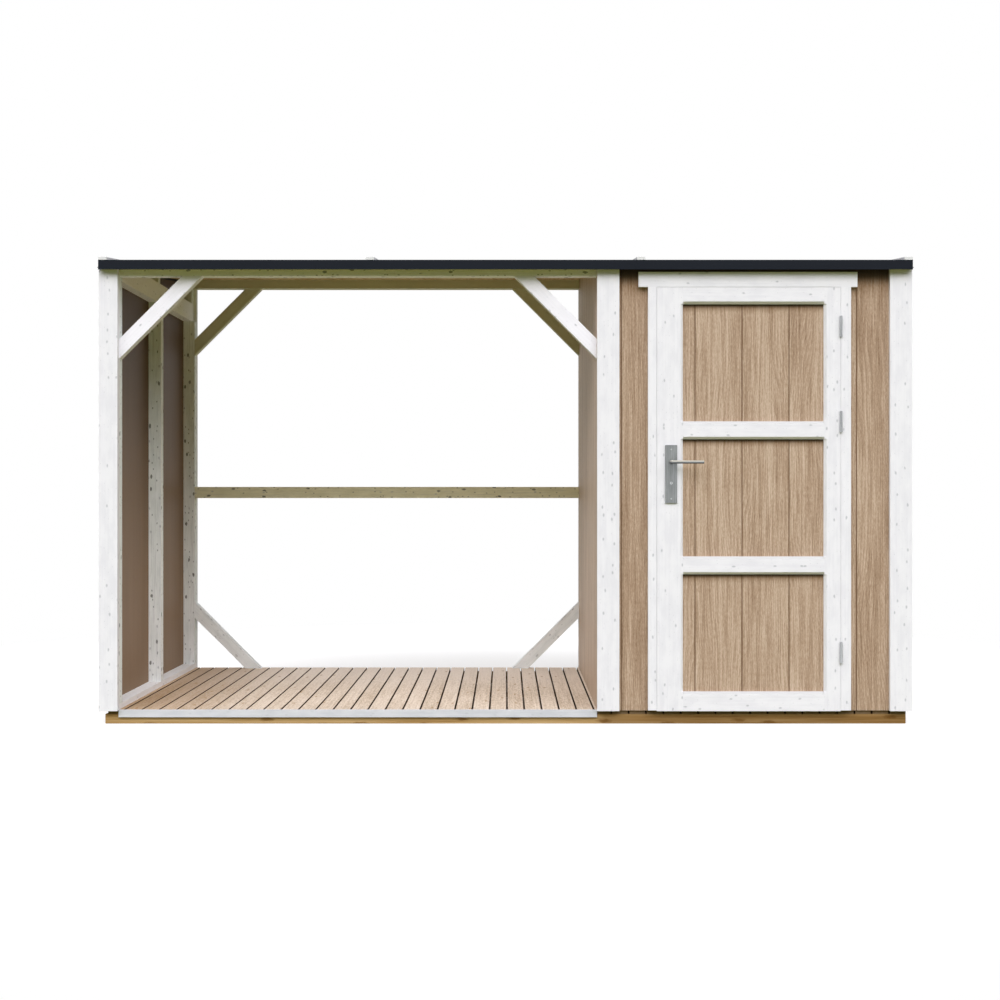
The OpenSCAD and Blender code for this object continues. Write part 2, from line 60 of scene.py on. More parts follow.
camera_data = bpy.data.cameras.new("camera")
camera_data.lens = 50.0
camera_data.sensor_width = 36.0
camera_data.shift_x = 0.5 - MEETING_POINT[0] / IMAGE_PIXELS
camera_data.shift_y = MEETING_POINT[1] / IMAGE_PIXELS - 0.5
camera = bpy.data.objects.new("camera", camera_data)
camera.location = (0.0, trim_face - EYE_DISTANCE, EYE_HEIGHT)
camera.rotation_euler = (math.radians(90.0), 0.0, 0.0)
bpy.context.collection.objects.link(camera)
scene = bpy.context.scene
scene.camera = camera
scene.view_settings.view_transform = "Standard"
print("camera at", [round(value, 3) for value in camera.location])

# %% [markdown]
# Finishes are built from shader nodes, and most of that work is arithmetic: scale this,
# add that, keep what is above a limit. Written node by node it hides the idea. So one
# small class wraps a socket and lets Python's own signs add the Math nodes, and a second
# class holds a material and makes any other node from its type, settings and sockets.

# %% Shader arithmetic
class Wire:
    """A socket's value, usable in sums; each sum adds a Math node."""

    def __init__(self, finish, socket):
        self.finish = finish
        self.socket = socket

    def math(self, operation, *values):
        return self.finish.node("ShaderNodeMath", {"operation": operation}, dict(enumerate(values)))

    def __add__(self, other):
        return self.math("ADD", self, other)

    def __sub__(self, other):
        return self.math("SUBTRACT", self, other)

    def __rsub__(self, other):
        return self.math("SUBTRACT", other, self)

    def __mul__(self, other):
        return self.math("MULTIPLY", self, other)

    def __truediv__(self, other):
        return self.math("DIVIDE", self, other)

    def __rtruediv__(self, other):
        return self.math("DIVIDE", other, self)

    def __gt__(self, other):
        return self.math("GREATER_THAN", self, other)

    def __lt__(self, other):
        return self.math("LESS_THAN", self, other)

    def __abs__(self):
        return self.math("ABSOLUTE", self)

    def __floor__(self):
        return self.math("FLOOR", self)

    __radd__ = __add__
    __rmul__ = __mul__


class Finish:
    """The nodes of a material or of the sky, with a method that makes any node."""

    def __init__(self, name, tree=None):
        if tree is None:
            self.material = bpy.data.materials.new(name)
            self.material.use_nodes = True
            tree = self.material.node_tree
        self.tree = tree
        self.tree.nodes.clear()

    def fill(self, socket, value):
        if isinstance(value, Wire):
            self.tree.links.new(value.socket, socket)
        elif socket.type == "RGBA":
            socket.default_value = (*value, 1.0)
        else:
            socket.default_value = value

    def node(self, kind, settings=None, sockets=None, output=0):
        made = self.tree.nodes.new(kind)
        for name, value in (settings or {}).items():
            if name == "stops":
                self.set_stops(made.color_ramp, value)
            else:
                setattr(made, name, value)
        for name, value in (sockets or {}).items():
            self.fill(made.inputs[name], value)
        return Wire(self, made.outputs[output]) if made.outputs else None

    def set_stops(self, ramp, stops):
        while len(ramp.elements) < len(stops):
            ramp.elements.new(1.0)
        for element, (place, colour) in zip(ramp.elements, stops):
            element.position = place
            element.color = (*colour, 1.0)

    def mix(self, factor, first, second):
        return self.node("ShaderNodeMix", {"data_type": "RGBA"}, {0: factor, 6: first, 7: second}, 2)

    def ramp(self, factor, stops):
        return self.node("ShaderNodeValToRGB", {"stops": stops}, {0: factor})

    def step(self, value, low, high):
        """0 below low, 1 above high, smooth between; low may be the larger."""
        settings = {"interpolation_type": "SMOOTHSTEP"}
        return self.node("ShaderNodeMapRange", settings, {0: value, 1: low, 2: high})

    def vector(self, x, y, z):
        return self.node("ShaderNodeCombineXYZ", {}, {0: x, 1: y, 2: z})

    def noise(self, place, scale, detail=2.0, roughness=0.5, distortion=0.0):
        sockets = {"Vector": place, "Scale": scale, "Detail": detail}
        sockets |= {"Roughness": roughness, "Distortion": distortion}
        return self.node("ShaderNodeTexNoise", {}, sockets)

    def skin(self, colour, roughness, bump=None, depth=0.0005, sheen=0.12, **sockets):
        """Closes the material: colour, roughness, an optional bump of that depth in metres, and its gloss."""
        inputs = {"Base Color": colour, "Roughness": roughness, "Specular IOR Level": sheen} | sockets
        if bump is not None:
            inputs["Normal"] = self.node("ShaderNodeBump", {}, {"Height": bump, "Distance": depth})
        shader = self.node("ShaderNodeBsdfPrincipled", {}, inputs)
        self.node("ShaderNodeOutputMaterial", {}, {"Surface": shader})
        return self.material


def srgb(red, green, blue):
    """A colour as it reads on a screen, 0 to 255, turned into light."""
    shares = (value / 255.0 for value in (red, green, blue))
    return tuple(s / 12.92 if s <= 0.04045 else ((s + 0.055) / 1.055) ** 2.4 for s in shares)


print("white trim paint as light:", [round(value, 3) for value in srgb(240, 240, 240)])

# %% [markdown]
# The stage is a garden's light without the garden. An overcast sky is brightest halfway up;
# near the horizon hedges take it away, and grass throws a dull olive light back up. Boards
# near the ground see much of the sky and boards under the roof see only grass, so the bay
# darkens upwards by itself. Lamps would do this too, but light from a lamp fades with
# distance, and a post would be brighter at its top; the sky's light doesn't fade. The camera
# and mirror-like metal still want white all round, so sky and floor answer two ways: white
# to those rays, the garden's light to every other ray that bounces on to the building.

# %% Sky
SKY_LEVELS = [(0.0, 0.03), (0.28, 0.05), (0.48, 0.78), (0.64, 1.0), (0.8, 0.86), (0.92, 0.3), (1.0, 0.1)]
SKY_COLOUR = (0.935, 0.93, 1.0)
SKY_STRENGTH = 4.7
WHITE = (1.0, 1.0, 1.0)
BACK_SHARE = 0.26
FRONT_SKY = (-0.1, -0.5)

world = bpy.data.worlds.new("sky")
world.use_nodes = True
scene.world = world
sky = Finish("sky", world.node_tree)


def white_ray(finish):
    """1 for rays of the camera and of mirror images, 0 for the light that falls on boards."""
    asked = ("Is Camera Ray", "Is Glossy Ray", "Is Transmission Ray")
    return sum(finish.node("ShaderNodeLightPath", {}, {}, name) for name in asked)


direction = sky.node("ShaderNodeTexCoord", {}, {}, "Generated")
depth, height = (sky.node("ShaderNodeSeparateXYZ", {}, {0: direction}, k) for k in (1, 2))
sky_stops = [(place, tuple(level * part for part in SKY_COLOUR)) for place, level in SKY_LEVELS]
lean = BACK_SHARE + (1 - BACK_SHARE) * sky.step(depth, *FRONT_SKY)
overcast = {"Color": sky.ramp(height, sky_stops), "Strength": lean * SKY_STRENGTH}
white_view = sky.node("ShaderNodeBackground", {}, {"Color": WHITE})
garden_view = sky.node("ShaderNodeBackground", {}, overcast)
both = sky.node("ShaderNodeMixShader", {}, {0: white_ray(sky), 1: garden_view, 2: white_view})
sky.node("ShaderNodeOutputWorld", {}, {"Surface": both})
print("sky strength", SKY_STRENGTH, "in front,", round(SKY_STRENGTH * BACK_SHARE, 2), "behind")

# %% [markdown]
# The floor is one large square. Close to the store it shows the store's soft shadow; a few
# metres on it turns into plain white, so that no horizon shows between floor and sky. Under
# the store it is painted dark brown, a painted shade that shows in the gaps. Grass is its
# colour for the light that it throws back.

# %% Floor
FLOOR_REACH = 40.0
FLOOR_DROP = 0.001
FLOOR_WHITE = (0.8, 0.8, 0.76)
FLOOR_GLOW = 0.34
STORE_FLOOR_SHADE = (0.3, 0.2, 0.13)
GRASS = (0.168, 0.186, 0.05)
SHADOW_REACH = (2.6, 4.2)

floor_mesh = bpy.data.meshes.new("floor")
floor_shape = bmesh.new()
bmesh.ops.create_grid(floor_shape, x_segments=1, y_segments=1, size=FLOOR_REACH)
floor_shape.to_mesh(floor_mesh)
floor_shape.free()
floor = bpy.data.objects.new("floor", floor_mesh)
floor.location.z = -FLOOR_DROP
bpy.context.collection.objects.link(floor)

ground = Finish("ground")
here = ground.node("ShaderNodeTexCoord", {}, {}, "Object")
distance = ground.node("ShaderNodeVectorMath", {"operation": "LENGTH"}, {0: here}, "Value")
matt = ground.node("ShaderNodeBsdfDiffuse", {}, {"Color": FLOOR_WHITE})
glow = ground.node("ShaderNodeEmission", {}, {"Color": WHITE, "Strength": FLOOR_GLOW})
glowing = ground.node("ShaderNodeAddShader", {}, {0: matt, 1: glow})
off_x, off_y = (abs(ground.node("ShaderNodeSeparateXYZ", {}, {0: here}, k)) for k in (0, 1))
sill_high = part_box("long_sills")[1]
outside = 1 - (off_x < sill_high.x) * (off_y < sill_high.y)
# Painted shade: the floor under the store is dark brown.
under = ground.node("ShaderNodeBsdfDiffuse", {}, {"Color": STORE_FLOOR_SHADE})
shadowed = ground.node("ShaderNodeMixShader", {}, {0: outside, 1: under, 2: glowing})
plain = ground.node("ShaderNodeEmission", {}, {"Color": WHITE})
far = ground.step(distance, *SHADOW_REACH)
white_ground = ground.node("ShaderNodeMixShader", {}, {0: far, 1: shadowed, 2: plain})
grass_ground = ground.node("ShaderNodeBsdfDiffuse", {}, {"Color": GRASS})
both = ground.node("ShaderNodeMixShader", {}, {0: white_ray(ground), 1: grass_ground, 2: white_ground})
ground.node("ShaderNodeOutputMaterial", {}, {"Surface": both})
floor_mesh.materials.append(ground.material)
print("floor reaches", FLOOR_REACH, "m each way")

# %% [markdown]
# A board's figure runs along its length. Blender's object coordinates are the building's own
# metres here, so the grain only needs to know which way a board runs. Each face is given a
# flat place of its own: across the board, along it, and its depth, which differs from board
# to board and keeps neighbours from showing the same figure.

# %% Places on a board
FACES = 0.7
DEPTH_STEP = 37.0


class BoardFinish(Finish):
    """A finish that knows which way its boards run: "X", "Y", "Z" or "brace"."""

    BAY_MIDDLE = (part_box("back_rail")[0].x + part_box("back_rail")[1].x) / 2
    MID_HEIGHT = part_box("back_rail")[0].z

    def __init__(self, name, runs):
        super().__init__(name)
        place = self.node("ShaderNodeTexCoord", {}, {}, "Object")
        normal = self.node("ShaderNodeTexCoord", {}, {}, "Normal")
        x, y, z = (self.node("ShaderNodeSeparateXYZ", {}, {0: place}, k) for k in range(3))
        self.height = z
        self.normal = [self.node("ShaderNodeSeparateXYZ", {}, {0: normal}, k) for k in range(3)]
        facing = [abs(part) > FACES for part in self.normal]
        if runs == "brace":
            side = abs(x - self.BAY_MIDDLE)
            rise = abs(z - self.MID_HEIGHT)
            x, z = (rise + side) * math.sqrt(0.5), (rise - side) * math.sqrt(0.5)
        across, along, depth, turn = {
            "Z": (x, z, y, facing[0]),
            "brace": (x, z, y, 1 - facing[1]),
            "X": (z, x, y, facing[2]),
            "Y": (x, y, z, facing[0]),
        }[runs]
        self.across = across + turn * (depth - across)
        self.depth = depth + turn * (across - depth)
        self.along = along
        self.end_grain = facing["XYZ".index(runs)] if runs in "XYZ" else 0.0

    def place(self, wide, long, shift=0.0):
        """A place for a pattern, with so many repeats a metre across and along."""
        return self.vector(self.across * wide, (self.along + shift) * long, self.depth * DEPTH_STEP)


print("board finishes run along X, Y, Z or a brace")

# %% [markdown]
# White boards: planed softwood under two coats of opaque paint. From a step away they look
# plain white, but knots still ghost through as small grey marks, most of them longer along
# the grain, and the brush leaves a faint streak. Cells of a Voronoi pattern, stretched along
# the board, place the knots; one cell in a few is used, so they don't form a grid. Boards
# inside the bay got a thinner coat, so grey grain and dark knots show. The door's upward
# ledges are painted greyer, a painted shade against the stronger light from above. The back
# beam and back rail are painted a yellowish white as shade, and they and the back braces are
# painted darker towards the roof as shade.

# %% White paint
PAINT_WHITE = srgb(242, 241, 243)
PAINT_SHADE = srgb(234, 233, 236)
THIN_WHITE = srgb(247, 250, 247)
THIN_SHADE = srgb(236, 240, 236)
# Painted shade: the back beam's and back rail's white is tinted yellow for the shade under the roof.
BACK_TINTED_SHADE_WHITE = srgb(246, 242, 208)
BACK_TINTED_SHADE_MOTTLE = srgb(236, 232, 196)
ROOF_SHADE_TONE = srgb(216, 213, 188)
ROOF_SHADE_SPAN = (0.9, 1.7)
EDGE_WHITE = srgb(219, 220, 223)
EDGE_SHADE = srgb(207, 209, 213)
PLATE_WHITE = srgb(252, 252, 250)
PLATE_SHADE = srgb(248, 247, 245)
BEAM_WHITE = srgb(253, 253, 249)
BEAM_SHADE = srgb(247, 247, 240)
BRACE_WHITE = srgb(252, 250, 254)
BRACE_SHADE = srgb(246, 244, 248)
KNOT_GREY = srgb(158, 160, 164)
KNOT_DARK = srgb(92, 95, 88)
LEDGE_PAINTED_SHADE = srgb(202, 202, 200)
LEDGE_TILT = (0.3, 0.7)
KNOT_LIFT = 13.7


def knots(finish, wide, long, size, share, core=0.6):
    """A mask of marks: cells a metre across and along, the marks' size, share in use and full core."""
    lift = finish.depth * KNOT_LIFT
    place = finish.vector((finish.across + lift) * wide, (finish.along + lift) * long, 0.0)
    settings = {"voronoi_dimensions": "2D", "feature": "F1"}
    sockets = {"Vector": place, "Scale": 1.0}
    spot = finish.node("ShaderNodeTexVoronoi", settings, sockets, "Distance")
    pick = finish.node("ShaderNodeTexVoronoi", settings, sockets, "Color")
    chance = finish.node("ShaderNodeSeparateColor", {}, {0: pick}, 0)
    ragged = spot + (finish.noise(finish.place(160.0, 60.0), 1.0) - 0.5) * size
    return finish.step(ragged, size * 1.1, size * core) * (chance < share)


def white_paint(name, runs, white=PAINT_WHITE, shade=PAINT_SHADE, ghosts=0.5, bare=0.0, knotty=0.0,
                greying=0.0, roof_shade=0.0):
    """White on boards that run one way: ghosts are covered knots, bare and knotty let grain and knots
    through; the last two settings paint shade, greyer on top faces and darker towards the roof."""
    finish = BoardFinish(f"white_{name}", runs)
    brush = finish.noise(finish.place(110.0, 2.0), 1.0, 3.0, 0.6)
    cloud = finish.noise(finish.place(26.0, 9.0), 1.0, 3.0, 0.6)
    fleck = knots(finish, 23.0, 13.0, 0.12, 0.42, core=0.25)
    speck = knots(finish, 60.0, 36.0, 0.09, 0.25)
    paint = finish.mix(finish.step(brush * 0.35 + cloud * 0.65, 0.36, 0.62), shade, white)
    colour = finish.mix((fleck + speck * 0.5) * ghosts, paint, KNOT_GREY)
    if bare:
        grain = finish.noise(finish.place(150.0, 6.0), 1.0, 4.0, 0.7)
        colour = finish.mix(finish.step(grain, 0.46, 0.72) * bare * 0.6, colour, KNOT_GREY)
    if knotty:
        eye = knots(finish, 15.0, 8.0, 0.09, 0.75) + knots(finish, 44.0, 24.0, 0.13, 0.4) * 0.7
        colour = finish.mix(eye * knotty, colour, KNOT_DARK)
    # Painted shade: boards darken towards the roof.
    if roof_shade:
        colour = finish.mix(finish.step(finish.height, *ROOF_SHADE_SPAN) * roof_shade, colour, ROOF_SHADE_TONE)
    # Painted shade: faces that look up are greyed against the stronger light from above.
    if greying:
        colour = finish.mix(finish.step(finish.normal[2], *LEDGE_TILT) * greying, colour, LEDGE_PAINTED_SHADE)
    return finish.skin(colour, 0.52 + 0.12 * cloud, brush * 0.35 - fleck * 0.5, 0.0004)


whites = {
    "trim": white_paint("trim", "Z"),
    "head": white_paint("head", "X"),
    "rail": white_paint("rail", "X", greying=1.0),
    "edge": white_paint("edge", "X", EDGE_WHITE, EDGE_SHADE, ghosts=0.15),
    "stud": white_paint("stud", "Z", THIN_WHITE, THIN_SHADE, bare=0.5, knotty=0.8),
    "plate": white_paint("plate", "Y", PLATE_WHITE, PLATE_SHADE),
    "front_beam": white_paint("front_beam", "X", BEAM_WHITE, BEAM_SHADE, bare=0.25, knotty=0.7),
    "front_brace": white_paint("front_brace", "brace", BRACE_WHITE, BRACE_SHADE, bare=0.1),
    "back_beam": white_paint("back_beam", "X", BACK_TINTED_SHADE_WHITE, BACK_TINTED_SHADE_MOTTLE, bare=0.4, knotty=0.8, roof_shade=1.0),
    "back_brace": white_paint("back_brace", "brace", THIN_WHITE, THIN_SHADE, bare=0.25, knotty=0.3, roof_shade=0.8),
}
print("white paints:", sorted(whites))

# %% [markdown]
# Tan siding: sheets pressed and stained to look like planks, with a groove at each plank's
# edge. The figure is long and fine: short pale strokes on brown, wider light and dark bands,
# and the arched lines that a plank shows when it is cut near the middle of the trunk. Bands
# come from a Wave texture bent by noise, strokes from noise stretched along the plank. The
# plank's number, counted from the groove pitch, shifts the figure so that no line crosses a
# groove. Just under the roof edge and under the door's rails, painted shade tints the sheet
# brown and darkens it. The plain inner face is painted darker towards the roof as shade.

# %% Tan siding
TAN_DARK = srgb(124, 97, 72)
TAN_MID = srgb(175, 149, 124)
TAN_LIGHT = srgb(216, 195, 172)
TAN_GROOVE = srgb(118, 90, 64)
TAN_SHADE_TINT = srgb(112, 74, 24)
TAN_PAINTED_SHADE = srgb(22, 14, 4)
INNER_BROWN = srgb(128, 103, 77)
INNER_PALE = srgb(147, 121, 94)
INNER_PAINTED_SHADE = srgb(56, 38, 20)
PLANK_PITCH = 0.203
PLANK_SHIFT = 1.713
FRONT_FIRST = 0.105
DOOR_FIRST = 0.1665
GROOVE_DIRT = (0.0045, 0.0005)
PAST_EDGE = 0.03
INNER_SHADE_SPAN = (0.3, 1.9)


def tan_siding(name, first_groove, axis, inward, shade_edges=(), shade_reach=0.02, deeper=0.0):
    """Planks from the first groove on; the sheet's plain inner face looks inward along an axis. Below
    each listed edge, painted shade darkens it within the reach and a painted brown shade tint
    reaches twice as far; deeper darkens all of it."""
    finish = BoardFinish(f"tan_{name}", "Z")
    plank = math.floor((finish.across - first_groove) / PLANK_PITCH)
    shift = plank * PLANK_SHIFT
    groove = abs((finish.across - first_groove) / PLANK_PITCH - plank - 0.5) * PLANK_PITCH
    sway = finish.noise(finish.place(4.2, 0.8, shift), 1.0, 2.0, 0.5)
    ring_place = finish.vector(finish.across * 34.0 + sway * 8.0 + shift, finish.along * 0.6, finish.depth)
    bands = {"wave_type": "BANDS", "bands_direction": "X", "wave_profile": "SAW"}
    bend = {"Scale": 1.0, "Distortion": 1.6, "Detail": 3.0, "Detail Scale": 1.6}
    rings = finish.node("ShaderNodeTexWave", bands, {"Vector": ring_place} | bend, 1)
    strokes = finish.noise(finish.place(240.0, 6.0, shift), 1.0, 4.0, 0.7)
    pores = finish.noise(finish.place(330.0, 60.0, shift), 1.0, 3.0, 0.7)
    streak = finish.noise(finish.place(64.0, 1.6, shift), 1.0, 3.0, 0.6, 0.3)
    patch = finish.noise(finish.place(11.0, 1.1, shift), 1.0, 2.0)
    tone = rings * 0.09 + strokes * 0.52 + pores * 0.4 + streak * 0.36 + patch * 0.22
    stops = [(0.0, TAN_DARK), (0.5, TAN_MID), (1.0, TAN_LIGHT)]
    figure = finish.ramp(finish.step(tone, 0.5 + deeper, 1.08 + deeper), stops)
    in_groove = finish.step(groove, *(PLANK_PITCH / 2 - reach for reach in GROOVE_DIRT))
    colour = finish.mix(in_groove * 0.8, figure, TAN_GROOVE)
    # Painted shade below each listed edge: a brown tint, then a dark brown nearer the edge.
    for edge in shade_edges:
        below = finish.along < edge + PAST_EDGE
        shade_tint = finish.step(finish.along, edge - 2.0 * shade_reach, edge - 0.3 * shade_reach) * below
        colour = finish.mix(shade_tint * 0.5, colour, TAN_SHADE_TINT)
        edge_shade = finish.step(finish.along, edge - shade_reach, edge) * below
        colour = finish.mix(edge_shade * 0.9, colour, TAN_PAINTED_SHADE)
    plain = finish.mix(patch, INNER_BROWN, INNER_PALE)
    # Painted shade: the plain inner face darkens towards the roof.
    plain = finish.mix(finish.step(finish.along, *INNER_SHADE_SPAN) * 0.68, plain, INNER_PAINTED_SHADE)
    inner = finish.normal[axis] * inward > FACES
    height = (pores * 0.4 + strokes * 0.6) * (1 - inner)
    return finish.skin(finish.mix(inner, colour, plain), 0.42 + 0.2 * pores, height, 0.0008)


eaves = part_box("drip_edges")[0].z
panel_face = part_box("door_panel")[0].y
rail_corners = [corner.co for corner in nodes["door_rails"].data.vertices]
rail_levels = sorted({round(corner.z, 3) for corner in rail_corners if abs(corner.y - panel_face) < 0.001})
rail_feet = rail_levels[2::2]
front_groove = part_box("front_siding")[0].x + FRONT_FIRST
back_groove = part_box("back_siding")[1].x - PLANK_PITCH / 2
door_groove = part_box("door_panel")[0].x + DOOR_FIRST
left_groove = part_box("left_siding")[1].y - PLANK_PITCH / 2
sidings = {
    "front_siding": (front_groove, 1, 1, (eaves,), 0.07, 0.01),
    "over_door_siding": (front_groove, 1, 1, (eaves,), 0.07, 0.01),
    "door_panel": (door_groove, 1, 1, rail_feet, 0.02, -0.025),
    "left_siding": (left_groove, 0, 1),
    "right_siding": (-left_groove, 0, -1),
    # The partition is set lighter, partly its own paler tone and partly a painted sheen.
    "partition_siding": (left_groove, 0, 1, (), 0.02, -0.1),
    "back_siding": (back_groove, 1, -1),
}
tans = {name: tan_siding(name, *facts) for name, facts in sidings.items()}
print("siding finishes:", len(tans), "rail feet at", rail_feet)

# %% [markdown]
# Sills, bearers and frame boards are plain softwood. The sills have been steeped against rot
# and turned golden brown; along the shed they carry a painted shade. Cut ends show rings
# instead of long grain, which is why these finishes ask which faces look along the board. The
# roof's battens are grey on top, a painted shade, and pale at their ends; their sides carry
# the pale tone too, as painted light.

# %% Sills, frame boards and battens
SILL_TONES = (srgb(120, 84, 38), srgb(178, 142, 90), srgb(208, 176, 126))
SILL_SHADED = srgb(92, 56, 2)
FRAME_TONES = (srgb(170, 134, 92), srgb(206, 178, 138), srgb(226, 204, 170))
BATTEN_SHADED_TONES = (srgb(122, 122, 119), srgb(150, 150, 147), srgb(176, 176, 174))
PALE_BATTEN_END_AND_LIT_SIDE = srgb(234, 234, 233)
SHADE_BLEND = 0.04
shed_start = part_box("front_siding")[0].x


def timber(name, runs, tones, shaded=None, ends=None):
    """Softwood that runs one way, from its dark, middle and light tones. A shaded tone is painted shade
    on sills along the shed; a batten's pale end tone goes on its sides as well, as painted light."""
    finish = BoardFinish(name, runs)
    fibre = finish.noise(finish.place(200.0, 4.0), 1.0, 3.0, 0.6)
    rings = finish.noise(finish.place(52.0, 0.8), 1.0, 2.0, 0.5, 0.6)
    cloud = finish.noise(finish.place(7.0, 1.1), 1.0, 2.0)
    knot = knots(finish, 14.0, 4.0, 0.15, 0.6, core=0.3)
    cut = finish.noise(finish.vector(finish.across * 150.0, finish.along * 20.0, finish.depth * 150.0), 1.0)
    long_tone = fibre * 0.4 + rings * 0.5 + cloud * 0.4
    tone = long_tone + finish.end_grain * (cut * 0.9 - long_tone)
    wood = finish.ramp(finish.step(tone, 0.36, 0.94), list(zip((0.0, 0.5, 1.0), tones)))
    colour = finish.mix(knot * (1 - finish.end_grain) * 0.75, wood, tones[0])
    if shaded:
        # Painted shade along the shed.
        shadow = finish.step(finish.along, shed_start, shed_start + SHADE_BLEND)
        colour = finish.mix(shadow * 0.45, colour, shaded)
    # Painted light: the pale end tone also goes on the battens' sides; the grey tops are painted shade.
    if ends:
        colour = finish.mix((abs(finish.normal[2]) < FACES) * 0.9, colour, ends)
    return finish.skin(colour, 0.66 + 0.16 * fibre, fibre * 0.5 + rings * 0.5, 0.0006)


timbers = {
    "sill_x": timber("sill_x", "X", SILL_TONES, shaded=SILL_SHADED),
    "sill_y": timber("sill_y", "Y", SILL_TONES),
    "frame_x": timber("frame_x", "X", FRAME_TONES),
    "frame_y": timber("frame_y", "Y", FRAME_TONES),
    "frame_z": timber("frame_z", "Z", FRAME_TONES),
    "batten": timber("batten", "Y", BATTEN_SHADED_TONES, ends=PALE_BATTEN_END_AND_LIT_SIDE),
}
print("timbers:", sorted(timbers))

# %% [markdown]
# Floor slats are paler and were left rough from the saw, so they look speckled rather than
# streaked. Each takes a slightly different tone from its number in the row. By the closed
# wall they are painted browner as shade; towards the open back they are painted paler as
# light. Their sides are painted dark and a dark line is painted along their top edges, a
# painted shade in the gaps, so the gaps read as clean dark lines from far away. Their cut
# ends are a darker brown.

# %% Floor slats
SLAT_TONES = (srgb(170, 148, 120), srgb(216, 199, 177), srgb(240, 226, 208))
SLAT_KNOT_AND_SHADE_BROWN = srgb(156, 114, 58)
SLAT_PAINTED_LIGHT = srgb(246, 232, 215)
SLAT_END = srgb(104, 80, 48)
SLAT_GAP_SHADE = srgb(52, 30, 16)
SLAT_PITCH = 0.0751
SLAT_GAP = 0.0071
SLAT_WIDTH = SLAT_PITCH - SLAT_GAP
GAP_SHADE_REACH = (0.0016, 0.0002)
PAINTED_LIGHT_SPAN = (-0.3, 0.6)
WALL_SHADE_SPAN = (-1.05, -1.7)
floor_low, floor_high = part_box("log_floor")


def floor_slats():
    """Sawn slats that run to the back; each takes its tone from its place in the row."""
    finish = BoardFinish("slat", "Y")
    row_place = (finish.across - floor_low.x + SLAT_GAP / 2) / SLAT_PITCH
    number = math.floor(row_place)
    off_middle = abs(row_place - number - 0.5) * SLAT_PITCH
    own_tone = finish.node("ShaderNodeTexWhiteNoise", {"noise_dimensions": "1D"}, {"W": number})
    shift = own_tone * 9.0
    sawn = finish.noise(finish.place(150.0, 26.0, shift), 1.0, 4.0, 0.75)
    fibre = finish.noise(finish.place(130.0, 3.0, shift), 1.0, 3.0, 0.6)
    cloud = finish.noise(finish.place(9.0, 1.6, shift), 1.0, 2.0)
    tone = sawn * 0.6 + fibre * 0.3 + cloud * 0.2 + own_tone * 0.06
    wood = finish.ramp(finish.step(tone, 0.31, 0.85), list(zip((0.0, 0.5, 1.0), SLAT_TONES)))
    # Painted light: paler towards the open back.
    wood = finish.mix(finish.step(finish.along, *PAINTED_LIGHT_SPAN) * 0.6, wood, SLAT_PAINTED_LIGHT)
    mark = knots(finish, 14.0, 4.0, 0.09, 0.35)
    # Painted shade: browner by the closed wall.
    wall_shade = finish.step(finish.across, *WALL_SHADE_SPAN) * 0.55
    colour = finish.mix(mark * 0.5, finish.mix(wall_shade, wood, SLAT_KNOT_AND_SHADE_BROWN), SLAT_KNOT_AND_SHADE_BROWN)
    # Painted shade in the gaps: a dark line along each top edge, then dark sides.
    gap_shade = finish.step(off_middle, *(SLAT_WIDTH / 2 - reach for reach in GAP_SHADE_REACH))
    colour = finish.mix(gap_shade * 0.5, colour, SLAT_GAP_SHADE)
    sides = abs(finish.normal[0]) > FACES
    colour = finish.mix(finish.end_grain * 0.9, finish.mix(sides * 0.9, colour, SLAT_GAP_SHADE), SLAT_END)
    return finish.skin(colour, 0.7 + 0.16 * sawn, sawn, 0.0006, sheen=0.0)


timbers["slat"] = floor_slats()
timbers["bearer"] = timber("bearer", "X", SLAT_TONES)
print("slats in the bay:", round((floor_high.x - floor_low.x) / SLAT_PITCH))

# %% [markdown]
# The roof is edged with folded sheet steel, coated black with a touch of blue, and covered
# with felt that carries crushed slate. The coat has a fine orange-peel; the felt needs a
# speckle of pale and dark grains with real relief. Hinges and handle are brushed steel:
# noise drawn out along the brush gives the streaks. The lever carries a painted highlight on
# its top and a painted shade on its underside.

# %% Metal and felt
COAT = (srgb(14, 18, 26), srgb(23, 29, 38))
SLATE = (srgb(34, 36, 40), srgb(58, 60, 63), srgb(104, 106, 108))
STEEL = (srgb(112, 116, 115), srgb(158, 161, 160))
HINGE_STEEL = (srgb(148, 151, 152), srgb(190, 193, 194))
SCREW_STEEL = (srgb(150, 154, 153), srgb(205, 208, 207))
LEVER_PAINTED_SHADE = srgb(74, 77, 76)
LEVER_PAINTED_HIGHLIGHT = srgb(232, 228, 216)


def coated_steel():
    finish = BoardFinish("black_metal", "X")
    peel = finish.noise(finish.place(420.0, 420.0), 1.0, 2.0)
    greying = finish.noise(finish.place(9.0, 2.0), 1.0, 3.0)
    colour = finish.mix(greying, *COAT)
    return finish.skin(colour, 0.42 + 0.2 * greying, peel, 0.0002, sheen=0.15)


def slate_felt():
    finish = BoardFinish("roof_felt", "Y")
    sockets = {"Vector": finish.place(420.0, 420.0), "Scale": 1.0}
    grain = finish.node("ShaderNodeTexVoronoi", {}, sockets, "Color")
    shade = finish.node("ShaderNodeSeparateColor", {}, {0: grain}, 0)
    cloud = finish.noise(finish.place(3.0, 3.0), 1.0, 3.0)
    stops = list(zip((0.0, 0.6, 1.0), SLATE))
    colour = finish.ramp(shade * 0.75 + cloud * 0.25, stops)
    return finish.skin(colour, 0.86, shade, 0.0012)


